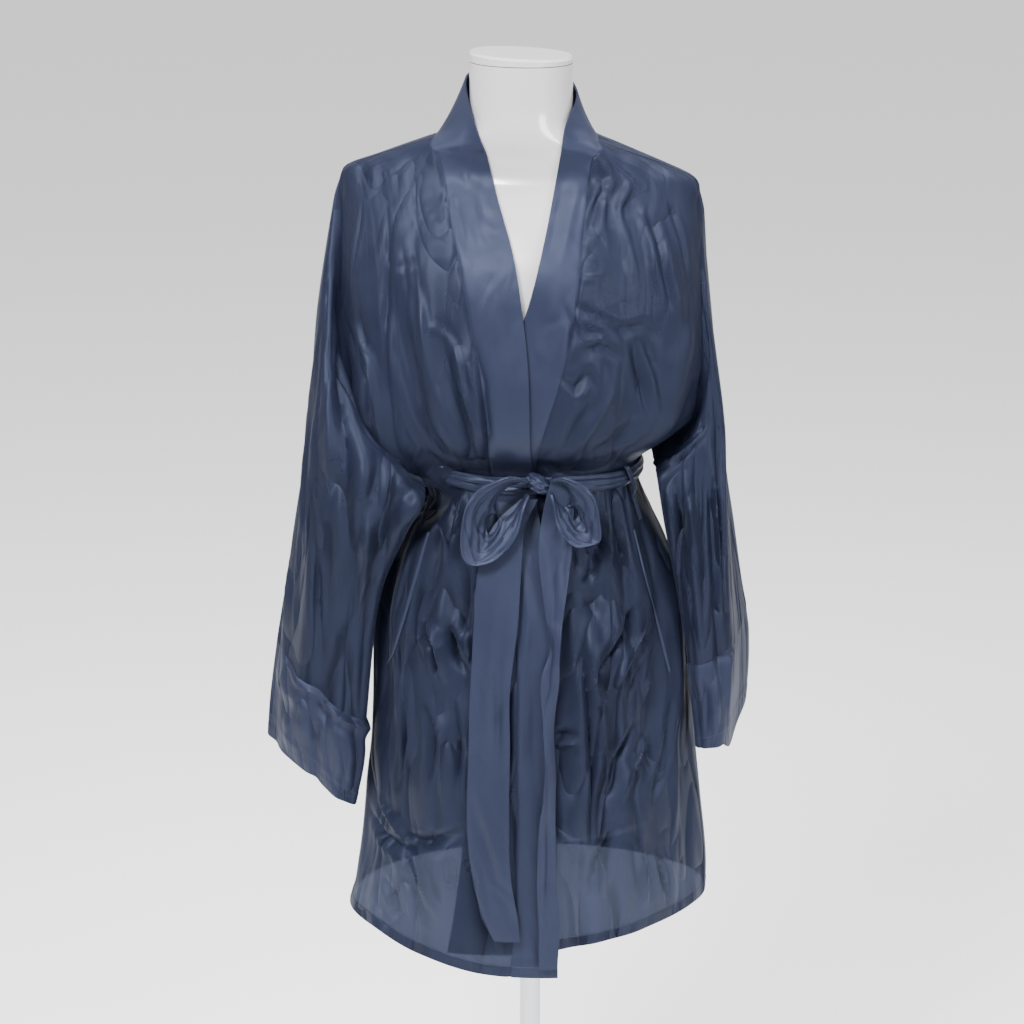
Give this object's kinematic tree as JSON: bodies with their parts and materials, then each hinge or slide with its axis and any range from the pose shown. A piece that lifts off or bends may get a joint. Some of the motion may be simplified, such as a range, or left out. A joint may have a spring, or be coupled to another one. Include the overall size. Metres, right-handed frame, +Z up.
{
  "type": "dressing gown on a dress form",
  "caption": "Short satin wrap dressing gown with kimono sleeves and deep cuffs, tied in a bow with its own belt, on a plain limbless dress form with a pole and a round foot.",
  "frame": {"origin": "centre of the round foot's underside, where the stand rests on the floor", "axes": "+Z up along the pole, the gown's front faces -Y, +X to the viewer's right"},
  "size_m": [0.5361, 0.3392, 1.5022],
  "materials": {
    "satin": "satin weave with a soft sheen, crumpled",
    "form": "smooth white gloss",
    "metal": "satin metal",
    "foot": "grey enamel"
  },
  "bodies": {
    "root": {"back": "satin", "front_right": "satin", "front_left": "satin", "neckband_right": "satin", "neckband_left": "satin", "sleeve_right": "satin", "sleeve_left": "satin", "cuff_right": "satin", "cuff_left": "satin", "belt_waist": "satin", "belt_knot": "satin", "bow_loop_right": "satin", "bow_loop_left": "satin", "belt_tail_right": "satin", "belt_tail_left": "satin", "belt_carrier_right": "satin", "belt_carrier_left": "satin", "pocket_edge_right": "satin", "pocket_edge_left": "satin", "form_torso": "form", "form_neck_cap": "form", "pole_collar": "metal", "pole": "metal", "foot": "foot"}
  },
  "joints": []
}
